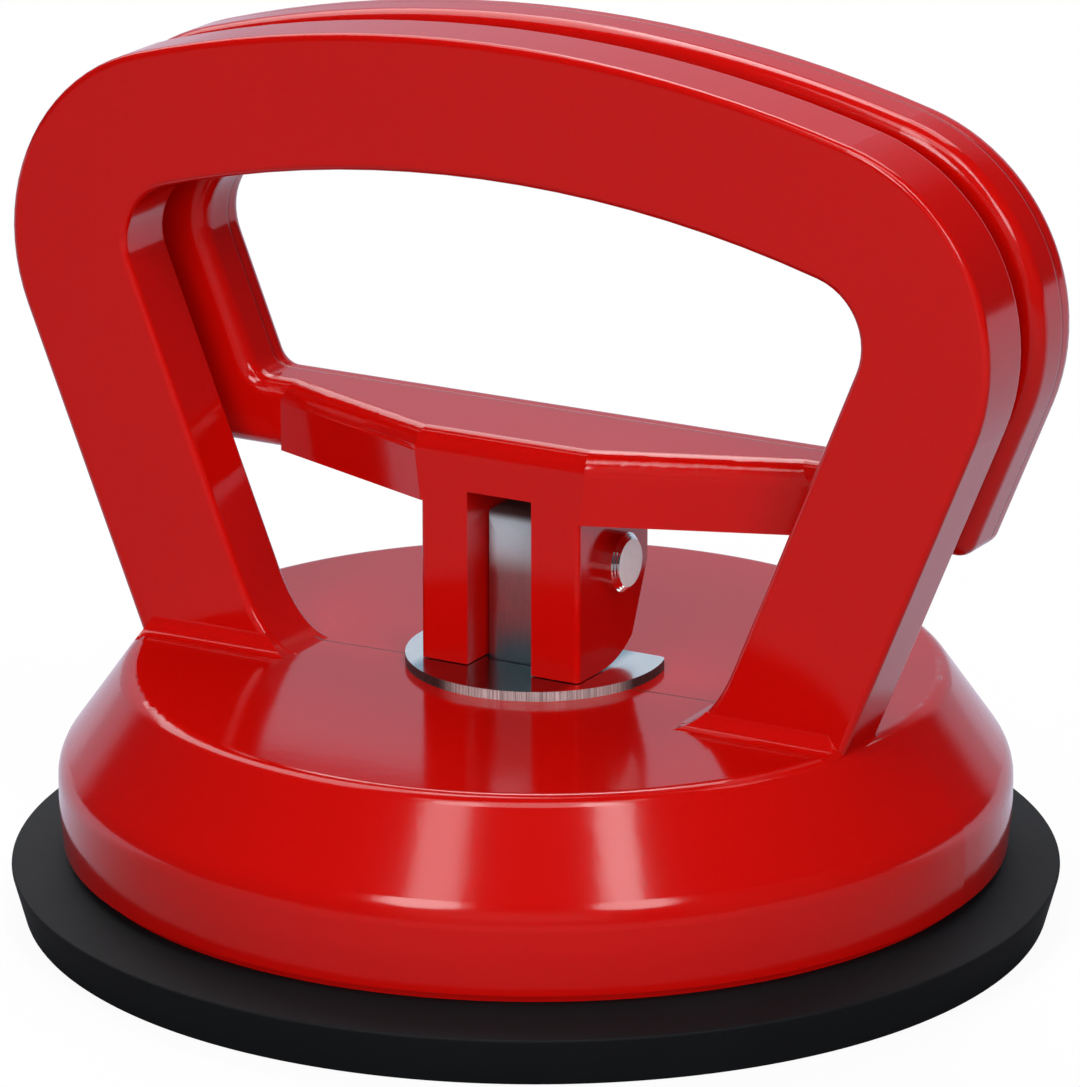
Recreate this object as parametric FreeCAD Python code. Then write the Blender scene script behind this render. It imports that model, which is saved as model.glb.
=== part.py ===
import FreeCAD, Part
import math, os
from FreeCAD import Vector

# Floor tile suction lifter, single cup, one-hand squeeze type.
# Millimetres, +Z up. Origin: centre of the pad's sealing face, on the floor.
# X runs along the handle, the lever lies back towards +Y. Drawn clamped: lever up.

os.makedirs("parts", exist_ok=True)

# ---- suction pad (black rubber) ----
PAD_R = 59.0              # widest, at the top edge of the rim
PAD_FLARE = 1.5           # the rim's side leans in this much to the sealing face
PAD_RIM_T = 5.6           # rim thickness
PAD_SEAT_RISE = 1.6       # top of the rim climbs this much to the housing's seat
SEAL_W = 11.0             # width of the flat sealing face
CAVITY_H = 5.6            # vacuum space under the middle when clamped
MEMBRANE_T = 2.6          # thin web between rim and middle
HUB_R = 24.0              # thick middle that holds the insert disc
HUB_T = 7.0
HUB_STEP = 3.0            # slope of the hub's side
SEAT_SPILL = 1.0          # pad seat, inward past the housing's foot

# ---- insert disc (steel, moulded into the pad) ----
INSERT_R = 20.0
INSERT_T = 2.0
INSERT_SKIN = 2.0         # rubber left under the disc
BOND_CLEAR = 0.1          # rubber round the steel, sideways

# ---- housing (moulded ABS): dome ----
TOP_Z = 28.0              # flat top of the dome
CONE_IN = 7.7             # the cone draws in this much from shoulder to top
TOP_EDGE_R = 2.4
SHOULDER_OUT = 0.4        # shoulder past the skirt's lower edge, the widest place
SHOULDER_Z = 17.2
SHOULDER_ROUND = 5.0
BELLY_Z = 12.6            # below this the skirt draws in a little
BELLY_ROUND = 16.0
RIM_OUT = 5.9             # pad's rim past the lower edge of the glossy skirt
FOOT_H = 1.1              # skirt's lower edge above the pad
FOOT_INSET = 1.3          # foot that stands on the pad, in from the skirt's edge
WALL = 3.0
RIB_T = 2.0
RIB_N = 8
BOSS_R = 10.0             # guide boss round the stud, under the top
BOSS_DEPTH = 5.5
SLIDE_CLEAR = 0.2         # stud in its guide, all round

# ---- handle loop, one moulding with the dome ----
GRIP_TOP = 101.0          # apex of the arched grip
GRIP_ARC_R = 161.5        # arch of its top
LEG_INSET = 1.3           # outer face of the leg, in from where top and cone would meet
LEG_LEAN = 0.404          # outward lean of the leg, x per z
CORNER_R = 23.0           # big outer corner
GRIP_H = 15.2             # grip height at the middle
LEG_W = 16.5              # leg width along X
INNER_CORNER_R = 7.2
HANDLE_FRONT = -12.2      # front face, Y
HANDLE_T = 8.6            # depth of the loop along Y
HANDLE_EDGE_R = 0.8
FOOT_COVE_R = 2.2         # cove between the legs' front faces and the dome's top
FLARE_UP = 8.4            # the leg's inner face sweeps out from here, along the leg
FLARE_OUT = 4.4           # and runs out this far over the dome
OPENING_SINK = 0.06       # the opening's floor lies this little under the dome's top
COVE_INSET = 0.04         # the coves stop this little short of the leg's sides and the cone

# ---- lever loop (moulded ABS) ----
LEVER_GAP = 4.2           # finger-safe gap behind the handle
LEVER_T = 8.8
LEVER_LEG_W = 18.6
LEVER_GRIP_H = 16.0
LEVER_EDGE_R = 2.0
LEVER_HEEL_R = 2.2        # outer bottom corners of the loop
LEVER_INNER_HEEL_R = 2.5  # bottom corners of its opening
BAR_EDGE_R = 2.4
FORK_EDGE_R = 0.6
BAR_Z = 47.4              # underside of the cross bar
BAR_H = 8.1
BAR_BEND_IN = 11.1        # where the bar's face starts to sweep forward, in from the leg's foot
FORK_HALF_W = 10.0
FORK_TOP_HALF_W = 11.0    # the swept face meets the fork here, at the bar's top
FORK_REACH = 8.3          # fork front face, ahead of the pin
FORK_BACK = 7.6           # fork rear face, behind the pin
FORK_SEAT_BACK = 3.1      # the flat seat's rear corner, behind the pin
FORK_BACK_LOW = 1.7       # the upright rear face starts this far under the pin
SLOT_W = 8.1
SLOT_TOP = 8.0            # slot ceiling above the pin

# ---- draw stud (zinc plated steel) ----
STUD_HALF_D = 4.95        # half its depth along Y
STUD_SIDE_CLEAR = 0.15    # each side, in the fork's slot
STUD_CORNER_R = 1.8
EYE_UP = 5.2              # stud above the pin's axis
EYE_CREST_R = 2.6         # front and rear edges of its top
EYE_SIDE_R = 1.0          # side edges of its top
SHANK_R = 5.0             # round end riveted through the insert disc
RIVET_R = 7.5
RIVET_T = 1.0

# ---- pivot pin (zinc plated steel) ----
PIN_R = 3.35
PIN_PROUD = 2.0           # past each side of the fork
PIN_CHAMFER = 0.65
PIN_RUN_CLEAR = 0.05      # pin in the stud's eye

# ---- wear plate (zinc plated steel) ----
PLATE_R = 14.6
PLATE_T = 1.1
PLATE_BACK = 5.0          # straight rear edge, behind the stud's axis
PLATE_TIP_R = 1.0         # its two tips
PLATE_STUD_CLEAR = 0.3
PEG_R = 1.5               # half-sheared pegs under the plate
PEG_H = 0.8
PEG_X = 9.5
PEG_Y = -4.0
PEG_CLEAR = 0.1

# ---- cam action ----
CAM_LIFT = 12.0           # pin above the fork's flat heel, lever up
CAM_RATE = 2.75           # mm of stud travel per radian of lever
LEVER_SWING = 70.0        # degrees the lever lies back
CAM_CLEAR = 0.1           # heel above the wear plate

# ---- places that follow from the sizes ----
SKIRT_R = PAD_R - RIM_OUT
SHOULDER_R = SKIRT_R + SHOULDER_OUT
TOP_R = SHOULDER_R - CONE_IN
FOOT_R = SKIRT_R - FOOT_INSET
LEG_FOOT_X = TOP_R - LEG_INSET
BAR_BEND_X = LEG_FOOT_X - BAR_BEND_IN
PLATE_TOP = TOP_Z + PLATE_T
PIN_Z = PLATE_TOP + CAM_CLEAR + CAM_LIFT
HANDLE_BACK = HANDLE_FRONT + HANDLE_T
LEVER_FRONT = HANDLE_BACK + LEVER_GAP
LEVER_BACK = LEVER_FRONT + LEVER_T
STUD_HALF_W = SLOT_W / 2 - STUD_SIDE_CLEAR
SEAT_Z = PAD_RIM_T + PAD_SEAT_RISE
SKIRT_Z = SEAT_Z + FOOT_H
INSERT_Z = CAVITY_H + INSERT_SKIN
PAD_FOOT_R = PAD_R - PAD_FLARE
HUB_TOP = CAVITY_H + HUB_T


def corner_arc(here, side_a, side_b, radius):
    """Start, crest and end of the arc that rounds a corner between two directions."""
    half = side_a.getAngle(side_b) / 2
    reach = radius / math.tan(half)
    middle = Vector(side_a + side_b).normalize()
    crest = here + middle * (radius / math.sin(half) - radius)
    return here + side_a * reach, crest, here + side_b * reach


def rounded(points):
    """Closed wire through (x, y, radius) corners, each rounded by a tangent arc."""
    places = [Vector(x, y, 0) for x, y, r in points]
    edges, ends = [], []
    count = len(points)
    for i, here in enumerate(places):
        radius = points[i][2]
        if radius <= 0:
            ends.append((here, here))
            continue
        before = (places[i - 1] - here).normalize()
        after = (places[(i + 1) % count] - here).normalize()
        start, crest, finish = corner_arc(here, before, after, radius)
        edges.append(Part.Arc(start, crest, finish).toShape())
        ends.append((start, finish))
    for i in range(count):
        leave, arrive = ends[i][1], ends[(i + 1) % count][0]
        if leave.distanceToPoint(arrive) > 1e-6:
            edges.append(Part.makeLine(leave, arrive))
    return Part.Wire(Part.__sortEdges__(edges))


def revolved(points):
    """Full turn about Z of a closed (radius, z, corner radius) profile."""
    face = Part.Face(rounded(points))
    face.rotate(Vector(0, 0, 0), Vector(1, 0, 0), 90)
    return face.revolve(Vector(0, 0, 0), Vector(0, 0, 1), 360)


def upright(wire, y_front, depth):
    """An outline drawn in X and Z, given a depth along Y from its front face."""
    face = Part.Face(wire)
    face.rotate(Vector(0, 0, 0), Vector(1, 0, 0), 90)
    face.translate(Vector(0, y_front, 0))
    return face.extrude(Vector(0, depth, 0))


def box_about(half_x, y0, y1, z0, z1):
    return Part.makeBox(2 * half_x, y1 - y0, z1 - z0, Vector(-half_x, y0, z0))


def column(half_x, half_y, corner, z0, z1):
    """Upright bar of rounded rectangular section, centred on the stud's axis."""
    wire = rounded([(-half_x, -half_y, corner), (half_x, -half_y, corner),
                    (half_x, half_y, corner), (-half_x, half_y, corner)])
    face = Part.Face(wire)
    face.translate(Vector(0, 0, z0))
    return face.extrude(Vector(0, 0, z1 - z0))


def flare(low, up, start, end):
    """Free curve that leaves one side of a corner and runs out along the other."""
    curve = Part.BezierCurve()
    curve.setPoles([low + up * start, low, low - Vector(end, 0, 0)])
    return curve.toShape()


def loop_side(foot_x, apex, arc_r, corner_r, z_low, heel_r, flared=False):
    """Right half of a loop outline, from its low middle up to the apex of the arch."""
    slope = math.hypot(1, LEG_LEAN)
    x_zero = foot_x - LEG_LEAN * TOP_Z
    hub = Vector(0, apex - arc_r, 0)
    # centre of the big corner: corner_r inside the leg and inside the arch
    k = x_zero - corner_r * slope
    a, b = slope * slope, 2 * (LEG_LEAN * k - hub.y)
    c = k * k + hub.y * hub.y - (arc_r - corner_r) ** 2
    centre = Vector(0, (-b + math.sqrt(b * b - 4 * a * c)) / (2 * a), 0)
    centre.x = LEG_LEAN * centre.y + k
    normal = Vector(1 / slope, -LEG_LEAN / slope, 0)
    outward = (centre - hub).normalize()
    start = centre + normal * corner_r
    crest = centre + Vector(normal + outward).normalize() * corner_r
    finish = centre + outward * corner_r
    low = Vector(x_zero + LEG_LEAN * z_low, z_low, 0)
    parts = [Part.makeLine(start, low)]
    if heel_r > 0:
        rise, turn, run = corner_arc(low, (start - low).normalize(), Vector(-1, 0, 0), heel_r)
        parts = [Part.makeLine(start, rise), Part.Arc(rise, turn, run).toShape()]
        low = run
    if flared:
        up = (start - low).normalize()
        parts = [Part.makeLine(start, low + up * FLARE_UP), flare(low, up, FLARE_UP, FLARE_OUT)]
        low = low - Vector(FLARE_OUT, 0, 0)
    shoulder = hub + (outward + Vector(-outward.x / 2, 0, 0)).normalize() * arc_r
    return parts + [
        Part.Arc(start, crest, finish).toShape(),
        Part.Arc(finish, shoulder, Vector(0, apex, 0)).toShape(),
        Part.makeLine(low, Vector(0, z_low, 0))]


def loop_wire(foot_x, apex, arc_r, corner_r, z_low, heel_r, flared=False):
    """Closed outline of a handle loop, mirror symmetric about X = 0."""
    half = loop_side(foot_x, apex, arc_r, corner_r, z_low, heel_r, flared)
    other = [e.mirror(Vector(0, 0, 0), Vector(1, 0, 0)) for e in half]
    return Part.Wire(Part.__sortEdges__(half + other))


def rims(shape, y):
    """Edges that lie wholly in the plane Y = y."""
    return [e for e in shape.Edges
            if abs(e.BoundBox.YMin - y) < 1e-3 and abs(e.BoundBox.YMax - y) < 1e-3]


def loop_plate(outer, inner, y_front, depth, edge_r):
    """Flat loop cut from its outer and inner outlines, with both faces' rims rounded."""
    loop = upright(outer, y_front, depth).cut(upright(inner, y_front - 1, depth + 2))
    return loop.makeFillet(edge_r, rims(loop, y_front) + rims(loop, y_front + depth))


def dome_outer():
    """Glossy outside of the dome, from the inset foot to the flat top."""
    return revolved([
        (0, SEAT_Z, 0), (FOOT_R, SEAT_Z, 0), (FOOT_R, SKIRT_Z, 0), (SKIRT_R, SKIRT_Z, 0),
        (SHOULDER_R, BELLY_Z, BELLY_ROUND), (SHOULDER_R, SHOULDER_Z, SHOULDER_ROUND),
        (TOP_R, TOP_Z, TOP_EDGE_R), (0, TOP_Z, 0)])


def dome_hollow():
    """Space under the dome, open towards the pad."""
    foot = FOOT_R - WALL
    return revolved([
        (0, SEAT_Z - 1, 0), (foot, SEAT_Z - 1, 0), (foot, SHOULDER_Z - WALL / 2, 0),
        (TOP_R - WALL, TOP_Z - WALL, 0), (0, TOP_Z - WALL, 0)])


def dome_ribs(hollow):
    """Radial ribs from the guide boss out to the skirt, clear of the pad's middle."""
    low = HUB_TOP + 1.5
    blade = Part.makeBox(FOOT_R, RIB_T, TOP_Z - low, Vector(0, -RIB_T / 2, low))
    blades = []
    for i in range(RIB_N):
        rib = blade.copy()
        rib.rotate(Vector(0, 0, 0), Vector(0, 0, 1), 360.0 / RIB_N * (i + 0.5))
        blades.append(rib)
    return blades[0].fuse(blades[1:]).common(hollow)


def handle_outlines(inset=0.0):
    """Outer outline of the fixed handle and the outline of its opening."""
    outer = loop_wire(LEG_FOOT_X - inset, GRIP_TOP, GRIP_ARC_R, CORNER_R, TOP_Z - WALL, 0)
    inner = loop_wire(LEG_FOOT_X - LEG_W + inset, GRIP_TOP - GRIP_H, GRIP_ARC_R - GRIP_H,
                      INNER_CORNER_R, TOP_Z - OPENING_SINK - inset, 0, True)
    return outer, inner


def handle_loop():
    """Fixed handle: arched grip on two legs that lean outwards and root in the dome."""
    outer, inner = handle_outlines()
    loop = loop_plate(outer, inner, HANDLE_FRONT, HANDLE_T, HANDLE_EDGE_R)
    low = TOP_Z - WALL + HANDLE_EDGE_R
    return loop.common(box_about(2 * SHOULDER_R, -PAD_R, PAD_R, low, 2 * GRIP_TOP))


def foot_cove(y, way):
    """Cove along both legs' feet, off the broad face at y, sunk a little into both."""
    r, low = FOOT_COVE_R, TOP_Z - OPENING_SINK - COVE_INSET
    into, out = y - way * r / 2, y + way * r
    hollow = r * (1 - math.sqrt(0.5))
    dome_end, leg_end = Vector(0, out, low), Vector(0, y, low + r)
    middle = Vector(0, y + way * hollow, low + hollow)
    rim = [Vector(0, into, low + r), Vector(0, into, low - r / 2), Vector(0, out, low - r / 2)]
    sides = [Part.Arc(dome_end, middle, leg_end).toShape(), Part.makeLine(leg_end, rim[0]),
             Part.makeLine(rim[0], rim[1]), Part.makeLine(rim[1], rim[2]),
             Part.makeLine(rim[2], dome_end)]
    face = Part.Face(Part.Wire(sides))
    face.translate(Vector(-PAD_R, 0, 0))
    bar = face.extrude(Vector(2 * PAD_R, 0, 0))
    outer, inner = handle_outlines(COVE_INSET)
    legs = upright(outer, -PAD_R, 2 * PAD_R).cut(upright(inner, -PAD_R - 1, 2 * PAD_R + 2))
    # the cone carried on above the dome's top ends the cove at the dome's edge
    slope, up = CONE_IN / (TOP_Z - SHOULDER_Z), 2 * r
    edge = TOP_R - COVE_INSET
    cone = Part.makeCone(edge + slope * up, edge - slope * up, 2 * up, Vector(0, 0, TOP_Z - up))
    return bar.common(legs).common(cone)


def housing():
    hollow = dome_hollow()
    body = dome_outer().cut(hollow)
    boss = Part.makeCylinder(BOSS_R, BOSS_DEPTH + WALL / 2, Vector(0, 0, TOP_Z - WALL - BOSS_DEPTH))
    body = body.fuse([boss, dome_ribs(hollow)]).fuse(handle_loop())
    body = body.fuse(foot_cove(HANDLE_FRONT, -1)).removeSplitter()
    gap = SLIDE_CLEAR
    guide = column(STUD_HALF_W + gap, STUD_HALF_D + gap, STUD_CORNER_R + gap, SEAT_Z, TOP_Z + 1)
    cuts = [guide]
    for side in (-1, 1):
        cuts.append(Part.makeCylinder(PEG_R + PEG_CLEAR, PEG_H + PEG_CLEAR,
                                      Vector(side * PEG_X, PEG_Y, TOP_Z - PEG_H - PEG_CLEAR)))
    return body.cut(cuts)


def cam_point(turn):
    """Heel of the fork: its distance under the pin falls evenly as the lever lies back."""
    a = math.radians(turn)
    reach = CAM_LIFT - CAM_RATE * a
    y = reach * math.sin(a) - CAM_RATE * math.cos(a)
    z = -reach * math.cos(a) - CAM_RATE * math.sin(a)
    return Vector(0, y, PIN_Z + z)


def cam_limit():
    """Side outline the fork's heel must stay within so that it never digs into the plate."""
    heel = [cam_point(LEVER_SWING * i / 6.0) for i in range(7)]
    turn = math.radians(LEVER_SWING)
    curve = Part.BSplineCurve()
    curve.interpolate(heel, InitialTangent=Vector(0, 1, 0),
                      FinalTangent=Vector(0, math.cos(turn), math.sin(turn)))
    end, top = heel[-1], BAR_Z + BAR_H
    front, back = -FORK_REACH - 1, FORK_BACK + 1
    corners = [end, Vector(0, back, end.z + (back - end.y) * math.tan(turn)), Vector(0, back, top),
               Vector(0, front, top), Vector(0, front, heel[0].z), heel[0]]
    lines = [Part.makeLine(p, q) for p, q in zip(corners, corners[1:])]
    return Part.Wire([curve.toShape()] + lines)


def fork_block():
    """Fork seen from the side: front face, flat seat, slanting heel and upright back."""
    seat, top = PIN_Z - CAM_LIFT, BAR_Z + BAR_H / 2
    side = Part.makePolygon([Vector(0, y, z) for y, z in (
        (-FORK_REACH, seat), (FORK_SEAT_BACK, seat), (FORK_BACK, PIN_Z - FORK_BACK_LOW),
        (FORK_BACK, top), (-FORK_REACH, top), (-FORK_REACH, seat))])
    solids = []
    for wire in (side, cam_limit()):
        face = Part.Face(wire)
        face.translate(Vector(-FORK_HALF_W, 0, 0))
        solids.append(face.extrude(Vector(2 * FORK_HALF_W, 0, 0)))
    block = solids[0].common(solids[1])
    upright_edges = [e for e in rims(block, -FORK_REACH) if e.BoundBox.ZLength > BAR_H]
    return block.makeFillet(FORK_EDGE_R, upright_edges)


def bar_plan(z, fork_x):
    """Plan of the swept part of the cross bar at one height, from the legs to the fork."""
    middle = (LEVER_FRONT + LEVER_BACK) / 2
    pts = [Vector(x, y, z) for x, y in (
        (-BAR_BEND_X, middle), (-BAR_BEND_X, LEVER_FRONT), (-fork_x, -FORK_REACH),
        (fork_x, -FORK_REACH), (BAR_BEND_X, LEVER_FRONT), (BAR_BEND_X, middle))]
    return Part.makePolygon(pts + pts[:1])


def swept_bar():
    """Front of the cross bar: it sweeps forward under the grip to carry the fork."""
    bar = Part.makeLoft([bar_plan(BAR_Z, FORK_HALF_W), bar_plan(BAR_Z + BAR_H, FORK_TOP_HALF_W)],
                        True, True)
    top = [e for e in bar.Edges
           if e.BoundBox.YMax < LEVER_FRONT + 1e-3 and e.BoundBox.ZMin > BAR_Z + BAR_H - 1e-3]
    return bar.makeFillet(BAR_EDGE_R, top)


def lever():
    outer = loop_wire(LEG_FOOT_X, GRIP_TOP, GRIP_ARC_R, CORNER_R, BAR_Z, LEVER_HEEL_R)
    inner = loop_wire(LEG_FOOT_X - LEVER_LEG_W, GRIP_TOP - LEVER_GRIP_H, GRIP_ARC_R - LEVER_GRIP_H,
                      INNER_CORNER_R, BAR_Z + BAR_H, LEVER_INNER_HEEL_R)
    loop = loop_plate(outer, inner, LEVER_FRONT, LEVER_T, LEVER_EDGE_R)
    body = loop.fuse([swept_bar(), fork_block()]).removeSplitter()
    slot = box_about(SLOT_W / 2, -FORK_REACH - 1, LEVER_BACK + 1, 0, PIN_Z + SLOT_TOP)
    pin_hole = Part.makeCylinder(PIN_R, 4 * FORK_HALF_W, Vector(-2 * FORK_HALF_W, 0, PIN_Z),
                                 Vector(1, 0, 0))
    return body.cut([slot, pin_hole])


def crest(half, edge_r, depth):
    """Upright bar of the stud's height whose two top corners are rounded."""
    low, top = INSERT_Z + INSERT_T, PIN_Z + EYE_UP
    wire = rounded([(-half, low, 0), (half, low, 0), (half, top, edge_r), (-half, top, edge_r)])
    return upright(wire, -depth, 2 * depth)


def draw_stud():
    """Flat-sided eye on a square-shouldered bar, riveted through the insert disc."""
    bar = column(STUD_HALF_W, STUD_HALF_D, STUD_CORNER_R, INSERT_Z + INSERT_T, PIN_Z + EYE_UP)
    across = crest(STUD_HALF_D, EYE_CREST_R, 2 * STUD_HALF_W)
    across.rotate(Vector(0, 0, 0), Vector(0, 0, 1), 90)
    bar = bar.common(crest(STUD_HALF_W, EYE_SIDE_R, 2 * STUD_HALF_D)).common(across)
    shank = Part.makeCylinder(SHANK_R, INSERT_T, Vector(0, 0, INSERT_Z))
    head = Part.makeCylinder(RIVET_R, RIVET_T, Vector(0, 0, INSERT_Z - RIVET_T))
    eye = Part.makeCylinder(PIN_R + PIN_RUN_CLEAR, 4 * STUD_HALF_W,
                            Vector(-2 * STUD_HALF_W, 0, PIN_Z), Vector(1, 0, 0))
    return bar.fuse([shank, head]).removeSplitter().cut(eye)


def insert_disc():
    disc = Part.makeCylinder(INSERT_R, INSERT_T, Vector(0, 0, INSERT_Z))
    shank = Part.makeCylinder(SHANK_R, INSERT_T, Vector(0, 0, INSERT_Z))
    return disc.cut(shank)


def insert_pocket():
    """Room in the rubber for the insert disc, the rivet head and the stud."""
    disc = Part.makeCylinder(INSERT_R + BOND_CLEAR, INSERT_T, Vector(0, 0, INSERT_Z))
    head = Part.makeCylinder(RIVET_R + BOND_CLEAR, RIVET_T, Vector(0, 0, INSERT_Z - RIVET_T))
    stem = column(STUD_HALF_W + BOND_CLEAR, STUD_HALF_D + BOND_CLEAR, STUD_CORNER_R + BOND_CLEAR,
                  INSERT_Z, HUB_TOP + 1)
    return disc.fuse([head, stem])


def pivot_pin():
    half = FORK_HALF_W + PIN_PROUD
    pin = Part.makeCylinder(PIN_R, 2 * half, Vector(-half, 0, PIN_Z), Vector(1, 0, 0))
    ends = [e for e in pin.Edges if len(e.Vertexes) == 1 and e.BoundBox.XLength < 1e-6]
    return pin.makeChamfer(PIN_CHAMFER, ends)


def wear_plate():
    """Half-round plate under the fork's heel, notched for the stud from behind."""
    disc = Part.makeCylinder(PLATE_R, PLATE_T, Vector(0, 0, TOP_Z))
    keep = box_about(PLATE_R + 1, -PLATE_R - 1, PLATE_BACK, TOP_Z - 1, PLATE_TOP + 1)
    notch = column(STUD_HALF_W + PLATE_STUD_CLEAR, STUD_HALF_D + PLATE_STUD_CLEAR,
                   STUD_CORNER_R + PLATE_STUD_CLEAR, TOP_Z - 1, PLATE_TOP + 1)
    half = STUD_HALF_W + PLATE_STUD_CLEAR
    mouth = box_about(half, 0, PLATE_R, TOP_Z - 1, PLATE_TOP + 1)
    pegs = [Part.makeCylinder(PEG_R, PEG_H, Vector(s * PEG_X, PEG_Y, TOP_Z - PEG_H)) for s in (-1, 1)]
    blank = disc.common(keep)
    tips = [e for e in blank.Edges if e.BoundBox.XLength < 1e-3 and e.BoundBox.YLength < 1e-3
            and abs(e.BoundBox.YMin - PLATE_BACK) < 1e-3]
    return blank.makeFillet(PLATE_TIP_R, tips).cut([notch, mouth]).fuse(pegs).removeSplitter()


def suction_pad():
    """Rubber cup, its middle pulled up: rim, thin web and thick hub round the insert."""
    seal_in = PAD_FOOT_R - SEAL_W
    web_out = FOOT_R - WALL - SEAT_SPILL
    web_top = CAVITY_H + MEMBRANE_T
    cup = revolved([
        (0, CAVITY_H, 0), (HUB_R, CAVITY_H, 0), (seal_in, 0, 0), (PAD_FOOT_R, 0, 0),
        (PAD_R, PAD_RIM_T, 0), (FOOT_R, SEAT_Z, 0), (web_out, SEAT_Z, 0),
        (HUB_R + HUB_STEP, web_top, 0), (HUB_R, HUB_TOP, 0), (0, HUB_TOP, 0)])
    return cup.cut(insert_pocket())


def check_and_save(name, shape):
    solids = shape.Solids
    if len(solids) == 1:
        shape = solids[0]
    shape.exportStep("parts/%s.step" % name)
    box = shape.optimalBoundingBox(False)
    print("%-12s solids %d valid %s volume %.0f  x %.1f..%.1f y %.1f..%.1f z %.1f..%.1f" % (
        name, len(solids), shape.isValid(), shape.Volume,
        box.XMin, box.XMax, box.YMin, box.YMax, box.ZMin, box.ZMax))


PIECES = {
    "housing": housing,
    "lever": lever,
    "pivot_pin": pivot_pin,
    "draw_stud": draw_stud,
    "wear_plate": wear_plate,
    "insert_disc": insert_disc,
    "suction_pad": suction_pad,
}
for piece, build in PIECES.items():
    check_and_save(piece, build())
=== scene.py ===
import bpy, math
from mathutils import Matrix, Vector
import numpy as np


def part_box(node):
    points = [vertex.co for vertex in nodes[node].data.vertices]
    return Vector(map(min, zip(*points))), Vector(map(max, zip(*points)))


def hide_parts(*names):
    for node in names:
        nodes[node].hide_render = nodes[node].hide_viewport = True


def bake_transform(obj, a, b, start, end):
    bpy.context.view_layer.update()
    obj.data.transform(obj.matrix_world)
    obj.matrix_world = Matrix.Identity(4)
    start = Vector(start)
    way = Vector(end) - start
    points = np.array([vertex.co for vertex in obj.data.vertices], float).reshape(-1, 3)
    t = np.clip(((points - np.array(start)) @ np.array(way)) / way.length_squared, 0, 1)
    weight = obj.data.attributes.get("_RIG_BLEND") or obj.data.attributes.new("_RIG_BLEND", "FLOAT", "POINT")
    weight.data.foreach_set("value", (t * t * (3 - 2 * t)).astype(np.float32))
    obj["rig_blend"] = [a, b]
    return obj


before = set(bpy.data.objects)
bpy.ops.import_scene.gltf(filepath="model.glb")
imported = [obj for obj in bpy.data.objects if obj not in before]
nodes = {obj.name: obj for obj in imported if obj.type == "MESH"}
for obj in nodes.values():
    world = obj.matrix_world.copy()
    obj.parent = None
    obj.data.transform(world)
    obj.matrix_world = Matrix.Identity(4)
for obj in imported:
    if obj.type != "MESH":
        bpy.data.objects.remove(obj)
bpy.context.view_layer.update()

# ---- Suction pad ----
# A moulded cup of black rubber that seals on the tile. Its rim is clamped under the dome's
# foot, its thick middle is bonded round the insert disc, and the thin web between bends.


class Socket:
    """An output in a material that takes part in sums as a number does."""

    def __init__(self, finish, socket):
        self.finish = finish
        self.socket = socket

    def math(self, operation, *others):
        return self.finish.add("Math", {"operation": operation},
                               dict(enumerate((self,) + others)))

    def __add__(self, other):
        return self.math("ADD", other)

    __radd__ = __add__

    def __sub__(self, other):
        return self.math("SUBTRACT", other)

    def __rsub__(self, other):
        return self.finish.add("Math", {"operation": "SUBTRACT"}, {0: other, 1: self})

    def __mul__(self, other):
        return self.math("MULTIPLY", other)

    __rmul__ = __mul__

    def __truediv__(self, other):
        return self.math("DIVIDE", other)

    def __pow__(self, other):
        return self.math("POWER", other)

    def __abs__(self):
        return self.math("ABSOLUTE")


class Nodes:
    """A tree of nodes, and the one way to add to it."""

    def __init__(self, tree):
        self.tree = tree

    def add(self, kind, settings=None, values=None, output=0):
        """A node of one kind: its settings first, then its sockets' values or links."""
        node = self.tree.nodes.new("ShaderNode" + kind)
        for key, setting in (settings or {}).items():
            if key == "stops":
                for element, (place, shade) in zip(node.color_ramp.elements, setting):
                    element.position = place
                    element.color = shade
            else:
                setattr(node, key, setting)
        for key, value in (values or {}).items():
            self.feed(node.inputs[key], value)
        return Socket(self, node.outputs[output])

    def feed(self, socket, value):
        """A link where the value comes from a node, else the value itself."""
        if isinstance(value, Socket):
            self.tree.links.new(value.socket, socket)
        else:
            socket.default_value = value

    def parts(self, vector):
        """The three parts of a vector."""
        split = self.add("SeparateXYZ", values={0: vector}).socket.node
        return [Socket(self, out) for out in split.outputs]

    def ramp(self, value, low, high, start=0.0, end=1.0):
        """Soft step: start below low, end above high."""
        return self.add("MapRange", {"interpolation_type": "SMOOTHSTEP"},
                        {"Value": value, "From Min": low, "From Max": high,
                         "To Min": start, "To Max": end})

    def mix(self, share, first, second):
        """From the first colour to the second."""
        return self.add("Mix", {"data_type": "RGBA"}, {0: share, 6: first, 7: second}, output=2)


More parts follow.
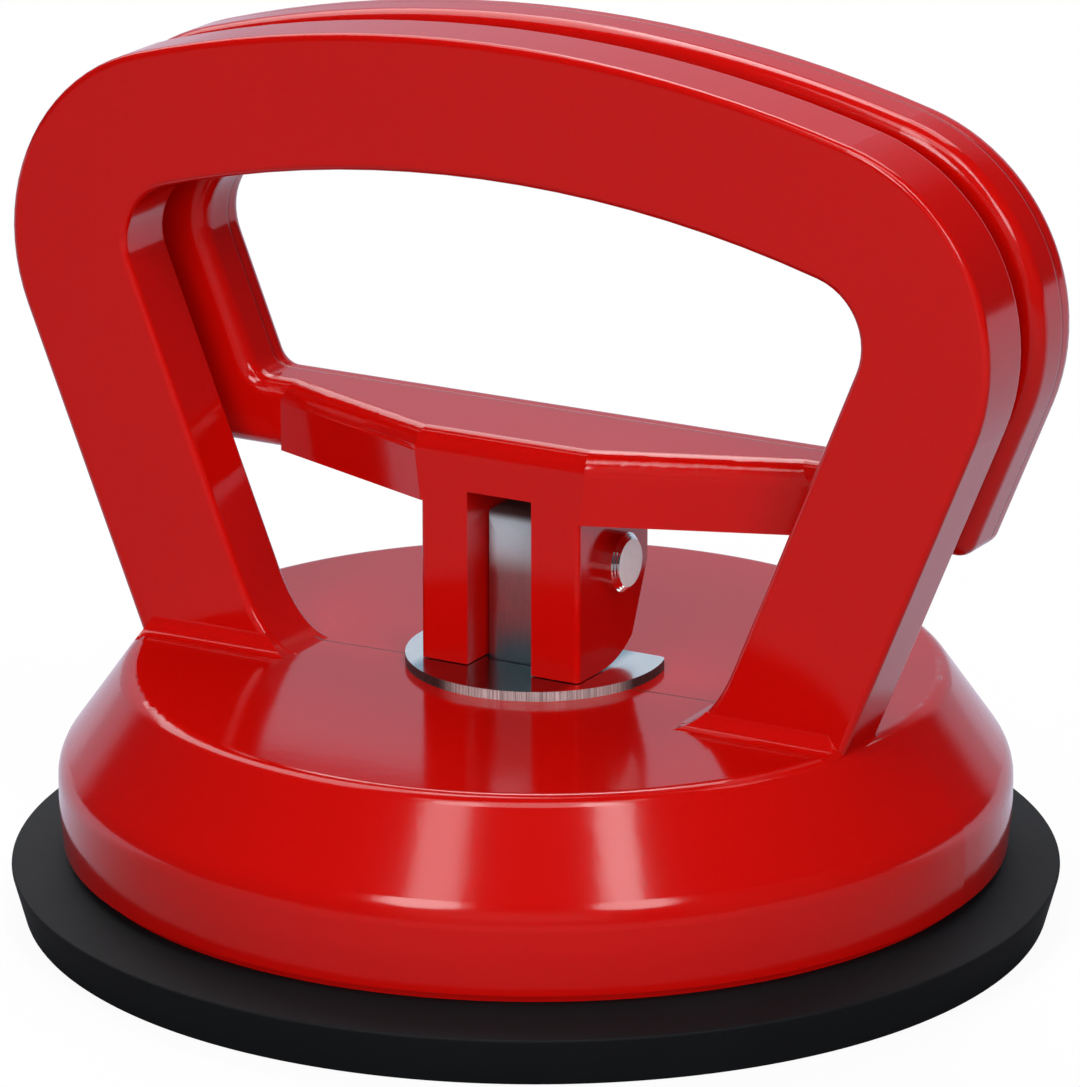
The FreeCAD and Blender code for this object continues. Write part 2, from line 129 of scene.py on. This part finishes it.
class Finish(Nodes):
    """A material on one Principled shader, worked out from the piece's own coordinates."""

    def __init__(self, name, **constants):
        self.material = bpy.data.materials.new(name)
        self.material.use_nodes = True
        super().__init__(self.material.node_tree)
        self.shader = self.tree.nodes["Principled BSDF"]
        for socket, value in constants.items():
            self.shader.inputs[socket.replace("_", " ")].default_value = value

    def wear(self, **varying):
        """Feeds the shader what changes over the surface."""
        for socket, value in varying.items():
            self.feed(self.shader.inputs[socket.replace("_", " ")], value)

    def place(self):
        """The point on the piece, and its three coordinates in millimetres."""
        here = self.add("TexCoord", output="Object")
        here = self.add("VectorMath", {"operation": "SCALE"}, {0: here, "Scale": 1000.0})
        return here, self.parts(here)

    def facing(self):
        """The three parts of the surface's direction, in the piece's own frame."""
        return self.parts(self.add("TexCoord", output="Normal"))

    def stretch(self, vector, x, y, z):
        """The point scaled along each axis, so that a noise on it is drawn out."""
        return self.add("VectorMath", {"operation": "MULTIPLY"}, {0: vector, 1: (x, y, z)})

    def noise(self, vector, per_mm, detail=2.0, rough=0.5):
        """Cloudy noise from 0 to 1, with this many patches to a millimetre."""
        return self.add("TexNoise", values={"Vector": vector, "Scale": per_mm, "Detail": detail,
                                            "Roughness": rough})

    def relief(self, height_mm):
        """The surface's direction over small hills of this height."""
        return self.add("Bump", values={"Strength": 1.0, "Distance": 0.001,
                                        "Height": height_mm})

    def dress(self, piece):
        """Makes this the piece's only material."""
        piece.data.materials.clear()
        piece.data.materials.append(self.material)


def softened(corners, steps=5):
    """Profile through (radius, height, cut) corners in mm, each eased off by its cut."""
    line = []
    for i, (r, z, cut) in enumerate(corners):
        here = Vector((r, z))
        if cut <= 0 or i in (0, len(corners) - 1):
            line.append(here)
            continue
        back = here + (Vector(corners[i - 1][:2]) - here).normalized() * cut
        ahead = here + (Vector(corners[i + 1][:2]) - here).normalized() * cut
        for k in range(steps + 1):
            t = k / steps
            line.append(back * (1 - t) ** 2 + here * 2 * t * (1 - t) + ahead * t * t)
    return line


def turned(name, line, count):
    """A skin turned about Z from a profile that starts and ends on the axis."""
    points = [(0, 0, line[0].y)] + [(0, 0, line[-1].y)]
    inner = line[1:-1]
    for k in range(count):
        a = 2 * math.pi * k / count
        points += [(p.x * math.cos(a), p.x * math.sin(a), p.y) for p in inner]
    faces, rows = [], len(inner)
    for k in range(count):
        here, there = 2 + k * rows, 2 + (k + 1) % count * rows
        faces.append((0, there, here))
        faces.append((1, here + rows - 1, there + rows - 1))
        faces += [(here + j, there + j, there + j + 1, here + j + 1) for j in range(rows - 1)]
    mesh = bpy.data.meshes.new(name)
    mesh.from_pydata([[v * 0.001 for v in p] for p in points], [], faces)
    mesh.shade_smooth()
    piece = bpy.data.objects.new(name, mesh)
    bpy.context.scene.collection.objects.link(piece)
    return piece


# Radii, heights and cuts are in millimetres, here and in all that follows.
pad_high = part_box("suction_pad")[1]
dome_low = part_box("housing")[0]
pad_r = pad_high.x * 1000
hub_top = pad_high.z * 1000
seat = dome_low.z * 1000
rim_fall, rim_width = 1.6, 7.2
rim_top = seat - rim_fall
foot_r = pad_r - rim_width
foot_width = 4
sole_inset = 1.5
seal_in = 46.5
hub_r, hub_flare = 24.0, 3
cavity, web = 5.6, 2.6
web_top = cavity + web
pad_facets = 224
pad = turned("suction_pad_moulded", softened([
    (0, cavity, 0), (hub_r, cavity, 5.0), (seal_in, 0, 4.0), (pad_r - sole_inset, 0, 0.5),
    (pad_r, rim_top, 0.35), (foot_r, seat, 0.6), (foot_r - foot_width, seat, 0.4),
    (hub_r + hub_flare, web_top, 1.5), (hub_r, hub_top, 1.0), (0, hub_top, 0)]), pad_facets)
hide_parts("suction_pad")
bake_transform(pad, "base", "stud", start=(0.047, 0, 0), end=(0.024, 0, 0))

# The web bends: its outer edge stays with the sealing ring, its inner edge goes with the hub.
for weight, vertex in zip(pad.data.attributes["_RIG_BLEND"].data, pad.data.vertices):
    share = (seal_in - math.hypot(vertex.co.x, vertex.co.y) * 1000) / (seal_in - hub_r)
    share = min(1.0, max(0.0, share))
    weight.value = share * share * (3 - 2 * share)

black, dusty = (0.0046, 0.0050, 0.0058, 1), (0.0085, 0.0092, 0.0105, 1)
rubber = Finish("black rubber", Specular_IOR_Level=0.16)
here = rubber.place()[0]
grain = rubber.noise(here, 3.2, detail=4.0, rough=0.6)
cloud = rubber.noise(here, 0.09)
dust = rubber.ramp(rubber.noise(here, 1.7, detail=1.0), 0.70, 0.80)
rubber.wear(
    Base_Color=rubber.mix(dust * 0.25 + cloud * 0.5, black, dusty),
    Roughness=0.54 + 0.14 * grain + 0.06 * cloud,
    Normal=rubber.relief(grain * 0.012))
rubber.dress(pad)

# ---- Insert disc ----
# A plain steel disc moulded into the pad's middle. The stud's foot is riveted through it,
# so the rubber is drawn up over its whole width.

dark_steel, pale_steel = (0.42, 0.42, 0.43, 1), (0.55, 0.55, 0.55, 1)
disc_steel = Finish("plain steel", Metallic=1.0)
scale = disc_steel.noise(disc_steel.place()[0], 0.8, detail=3.0)
disc_steel.wear(
    Base_Color=disc_steel.mix(scale, dark_steel, pale_steel),
    Roughness=0.35 + 0.2 * scale)
disc_steel.dress(nodes["insert_disc"])

# ---- Draw stud ----
# Cold-drawn steel bar, flat on four sides, drilled for the pin and zinc plated. It slides in
# the dome's guide and pulls the pad's middle up as the lever stands up. The zinc has gone
# hazy round the eye and keeps its blue tint near the dome.

eye_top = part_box("draw_stud")[1].z * 1000
dome_top = 28.0
haze_low, haze_full = eye_top - 7.5, eye_top - 2.8
blue_ends = dome_top + 8.0
drawn_dark, drawn_pale = (0.44, 0.45, 0.47, 1), (0.66, 0.67, 0.69, 1)
blue_zinc, hazy_zinc = (0.30, 0.40, 0.46, 1), (0.42, 0.49, 0.56, 1)
pitted, shaded = (0.30, 0.30, 0.31, 1), (0.06, 0.03, 0.03, 1)
stud_zinc = Finish("hazy zinc")
here, (x, y, z) = stud_zinc.place()
drawn = stud_zinc.noise(stud_zinc.stretch(here, 4.0, 4.0, 0.30), 1.0, detail=4.0, rough=0.6)
speck = stud_zinc.ramp(stud_zinc.noise(here, 1.9, rough=0.7), 0.60, 0.70)
haze = stud_zinc.noise(here, 0.35)
patchy = (0.85 + 0.3 * haze).math("MINIMUM", 1.0)
hazy = stud_zinc.ramp(z, haze_low, haze_full) * patchy
blued = stud_zinc.ramp(z, dome_top, blue_ends, 1.0, 0.0)
# Painted shade: faces that look up turn dark red-brown, standing for the fork slot's shade and red
# reflection.
top_painted_shade = stud_zinc.ramp(stud_zinc.facing()[2], 0.55, 0.85)
shade = stud_zinc.mix(drawn, drawn_dark, drawn_pale)
shade = stud_zinc.mix(blued * 0.7, shade, blue_zinc)
shade = stud_zinc.mix(hazy, shade, hazy_zinc)
shade = stud_zinc.mix(speck * 0.30, shade, pitted)
stud_zinc.wear(
    Base_Color=stud_zinc.mix(top_painted_shade, shade, shaded),
    Metallic=1.0 - 0.9 * hazy,
    Roughness=0.20 + 0.14 * haze + 0.12 * drawn + 0.20 * hazy,
    Normal=stud_zinc.relief(drawn * 0.012 + speck * 0.008))
stud_zinc.dress(nodes["draw_stud"])

# ---- Housing ----
# One moulding in glossy red ABS: the dome that clamps the pad's rim, and the fixed handle.
# Parts of the mould meet in line with the handle's rear face, and leave a fine line there
# across the dome's top.

glossy_red = (0.50, 0.0022, 0.0008)
off_line = 300.0
dome_seam_y, dome_seam_skew, dome_seam_end = -4.4, 0.048, 39.0


def moulded_red(name, seam_width, seam_depth, seam):
    """Glossy moulded ABS; seam takes the coordinates and gives the distance to its line."""
    abs_red = Finish(name, IOR=1.5)
    here, axes = abs_red.place()
    swirl = abs_red.noise(here, 0.045)
    peel = abs_red.noise(here, 0.55)
    fine = abs_red.noise(here, 4.0)
    flash = abs_red.ramp(abs(seam(abs_red, axes)), seam_width * 0.35, seam_width, seam_depth, 0.0)
    red, green, blue = glossy_red
    deep = tuple(part * 0.93 for part in glossy_red)
    abs_red.wear(
        Base_Color=abs_red.mix(flash * 0.95, abs_red.mix(swirl, deep + (1,), glossy_red + (1,)),
                               (red * 0.10, green * 0.5, blue * 0.5, 1)),
        Roughness=0.09 + 0.04 * swirl + 0.02 * fine + 0.35 * flash,
        Normal=abs_red.relief(peel * 0.010 + fine * 0.0012 - flash * 0.05))
    return abs_red


def housing_seam(finish, axes):
    """Slightly skew across the dome's top from leg to leg, and none on the handle."""
    x, y, z = axes
    above = finish.ramp(z, dome_top + 0.3, dome_top + 0.6, 0.0, off_line)
    beyond = finish.ramp(abs(x), dome_seam_end - 0.5, dome_seam_end, 0.0, off_line)
    return y - dome_seam_y - dome_seam_skew * x + above + beyond


moulded_red("red abs housing", 0.17, 1.0, housing_seam).dress(nodes["housing"])

# ---- Wear plate ----
# Half-round zinc plated steel plate, blanked from sheet and pegged into the dome's top.
# Its middle under the fork is painted darker, a painted shade and reflection of the fork, and its ends
# are bright. The punch left upright shear marks on the edge, with a painted highlight at the front right
# and painted shade round the rest.

bright_zinc, shaded_middle_zinc = (0.88, 0.98, 0.96, 1), (0.34, 0.52, 0.56, 1)
sheared, torn, shaded_edge = (0.85, 0.86, 0.87, 1), (0.22, 0.20, 0.19, 1), (0.05, 0.04, 0.04, 1)
middle_shade_full, middle_shade_to = 8.6, 10.6
edge_highlight_from, edge_highlight_full = 9.6, 12.4
plate_zinc = Finish("bright zinc", Metallic=1.0)
here, (x, y, z) = plate_zinc.place()
edge_on = 1 - plate_zinc.ramp(abs(plate_zinc.facing()[2]), 0.3, 0.7)
shear = plate_zinc.noise(plate_zinc.stretch(here, 11.0, 11.0, 0.10), 1.0, rough=0.6)
shear = plate_zinc.ramp(shear, 0.34, 0.72)
# Painted highlight and shade on the edge: streaked and bright where it faces front right, dark elsewhere.
edge_painted_highlight = plate_zinc.ramp(x * 0.49 - y * 0.87, edge_highlight_from, edge_highlight_full)
# Painted shade: the top is darker in the middle, under the fork, and bright at the ends.
middle_painted_shade = plate_zinc.ramp(abs(x), middle_shade_full, middle_shade_to, 1.0, 0.0)
mottle = plate_zinc.noise(here, 0.5, detail=3.0)
edge = plate_zinc.mix(shear, sheared, torn)
edge = plate_zinc.mix(edge_painted_highlight, shaded_edge, edge)
top = plate_zinc.mix(middle_painted_shade, bright_zinc, shaded_middle_zinc)
plate_zinc.wear(
    Base_Color=plate_zinc.mix(edge_on, top, edge),
    Metallic=1.0 - 0.5 * edge_on,
    Roughness=0.13 + 0.07 * mottle + 0.14 * edge_on,
    Normal=plate_zinc.relief(edge_on * shear * 0.06 + mottle * 0.004))
plate_zinc.dress(nodes["wear_plate"])

# ---- Lever ----
# One moulding in the same red ABS: a loop behind the handle, and a cross bar that sweeps
# forward to the fork. Its mould line runs round the loop towards its rear face.

loop_seam_y = 6.1
loop_foot = 47.0


def lever_seam(finish, axes):
    """Round the loop, and not down the fork."""
    x, y, z = axes
    return y - loop_seam_y + finish.ramp(z, loop_foot, loop_foot + 0.4, off_line, 0.0)


moulded_red("red abs lever", 0.30, 0.40, lever_seam).dress(nodes["lever"])

# ---- Pivot pin ----
# Turned steel pin, chamfered at both ends and zinc plated. It is a tight fit in the fork's
# two arms, and the stud's eye turns on it. Its flat ends keep the rings of the lathe tool.

rings_per_mm = 26.0
pin_dark, pin_pale = (0.78, 0.88, 0.88, 1), (0.92, 1.0, 1.0, 1)
pin_low, pin_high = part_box("pivot_pin")
pin_middle = (pin_low + pin_high) * 500
pin_zinc = Finish("turned zinc", Metallic=1.0)
here, (x, y, z) = pin_zinc.place()
out_y = y - pin_middle.y
out_z = z - pin_middle.z
radius = (out_y * out_y + out_z * out_z) ** 0.5
rings = (radius * rings_per_mm).math("SINE")
cloud = pin_zinc.noise(here, 1.1, detail=3.0)
face_on = pin_zinc.ramp(abs(pin_zinc.facing()[0]), 0.90, 0.98)
pin_zinc.wear(
    Base_Color=pin_zinc.mix(cloud, pin_dark, pin_pale),
    Metallic=1.0 - 0.8 * face_on,
    Roughness=0.08 + 0.04 * cloud + 0.30 * face_on,
    Normal=pin_zinc.relief(rings * 0.004 + cloud * 0.01))
pin_zinc.dress(nodes["pivot_pin"])

# ---- Floor and light ----
# A plain white table that keeps the tool's soft shadow, a white room and softboxes round
# it. The gloss sees the table and the room pale behind the tool and dark in front of it.
# Turns are from the front of the tool, and side_turn and rise are where the camera stands.

side_turn, rise = math.radians(29.26), math.radians(17.41)
plain_white, cool_white = (1, 1, 1, 1), (0.80, 0.83, 1.0, 1)
table_grey, table_pale = (0.18, 0.18, 0.19, 1), (0.88, 0.88, 0.88, 1)
table_shown, table_mirrored = 0.93, 0.85
room_dim, room_mirrored = 0.05, 0.56
floor_half = 2.0
floor_mesh = bpy.data.meshes.new("floor")
floor_mesh.from_pydata([(x * floor_half, y * floor_half, 0) for x, y in
                        ((-1, -1), (1, -1), (1, 1), (-1, 1))], [], [(0, 1, 2, 3)])
floor = bpy.data.objects.new("floor", floor_mesh)
bpy.context.scene.collection.objects.link(floor)


def rays(shading):
    """Whether a ray comes from the camera, and whether it is a mirrored one."""
    ray = shading.add("LightPath").socket.node
    seen = Socket(shading, ray.outputs["Is Camera Ray"])
    mirrored = (Socket(shading, ray.outputs["Is Glossy Ray"])
                + Socket(shading, ray.outputs["Is Transmission Ray"])).math("MINIMUM", 1.0)
    return seen, mirrored


white = Finish("white table", Roughness=0.9)
seen, mirrored = rays(white)
here, (x, y, z) = white.place()
behind = white.ramp(y * math.cos(side_turn) - x * math.sin(side_turn), -25.0, 35.0)
white.wear(Base_Color=white.mix(seen, table_grey, table_pale))
glow = white.add("Emission", values={
    "Color": white.mix(seen, cool_white, plain_white), "Strength": 1.0})
surface = white.add("MixShader", values={
    0: seen * table_shown + (1 - seen) * mirrored * behind * table_mirrored,
    1: Socket(white, white.shader.outputs[0]), 2: glow})
white.feed(white.tree.nodes["Material Output"].inputs["Surface"], surface)
white.dress(floor)

aim = Vector((0, 0, 0.041))
world = bpy.data.worlds.new("studio")
bpy.context.scene.world = world
world.use_nodes = True
studio = Nodes(world.node_tree)
east, north, up = studio.parts(studio.add("TexCoord", output="Generated"))
seen, mirrored = rays(studio)
away = north * math.cos(side_turn) - east * math.sin(side_turn)
backdrop = studio.ramp(away, 0.68, 0.78) * studio.ramp(up, 0.40, 0.55, 1.0, 0.0)
background = world.node_tree.nodes["Background"]
studio.feed(background.inputs["Strength"],
            seen + (1 - seen) * (room_dim + room_mirrored * backdrop * mirrored))
studio.feed(background.inputs["Color"], studio.mix(seen, cool_white, plain_white))


def softbox(name, turn, height, away, wide, tall, glow, shape="RECTANGLE"):
    """A light panel that faces the tool. It stands this many degrees round from the camera
    and up from level, in metres away, looks this many degrees wide and tall, and gives glow
    watts to each square metre."""
    lamp = bpy.data.lights.new(name, "AREA")
    lamp.shape = shape
    lamp.size = 2 * away * math.tan(math.radians(wide / 2))
    lamp.size_y = 2 * away * math.tan(math.radians(tall / 2))
    lamp.energy = glow * lamp.size * lamp.size_y
    a, e = side_turn + math.radians(turn), math.radians(height)
    back = Vector((math.sin(a) * math.cos(e), -math.cos(a) * math.cos(e), math.sin(e)))
    stand = bpy.data.objects.new(name, lamp)
    stand.location = aim + back * away
    stand.rotation_mode = "QUATERNION"
    stand.rotation_quaternion = (-back).to_track_quat("-Z", "Y")
    stand.visible_camera = False
    bpy.context.scene.collection.objects.link(stand)
    return stand


softbox("left_box", -29, 33, 0.90, 18, 18, 18.0, "ELLIPSE")
softbox("left_box_top", -29, 53, 0.90, 12, 27, 9.5, "ELLIPSE")
softbox("right_box", 25, 33, 0.90, 17, 17, 15.0, "ELLIPSE")
softbox("right_box_top", 25, 53, 0.90, 9, 27, 14.0, "ELLIPSE")
softbox("front_fill", -6, 14, 1.30, 50, 24, 13.8).visible_glossy = False
softbox("front_top", -2, 66, 1.25, 40, 20, 7.8)
softbox("right_fill", 54, 14, 1.40, 40, 36, 3.2).visible_glossy = False
softbox("back_left", -157, 50, 1.40, 44, 44, 8.0)
softbox("back_right", 162, 56, 1.40, 34, 34, 8.4)

# ---- Camera ----
# Stands in front and to the right, a little above the handle's height, with a long lens,
# so that the tool fills the frame with hardly any perspective.

stand_back = 0.7564
lens_mm, film_mm = 225.4, 36
shift_right, shift_up = 0.0038, 0.0048
back = Vector((math.sin(side_turn) * math.cos(rise), -math.cos(side_turn) * math.cos(rise),
               math.sin(rise)))
lens = bpy.data.cameras.new("camera")
lens.lens, lens.sensor_width, lens.sensor_fit = lens_mm, film_mm, "AUTO"
lens.shift_x, lens.shift_y = shift_right, shift_up
lens.clip_start, lens.clip_end = 0.05, 10
camera = bpy.data.objects.new("camera", lens)
camera.location = aim + back * stand_back
camera.rotation_mode = "QUATERNION"
camera.rotation_quaternion = (-back).to_track_quat("-Z", "Y")
bpy.context.scene.collection.objects.link(camera)
bpy.context.scene.camera = camera
bpy.context.scene.view_settings.view_transform = "Standard"
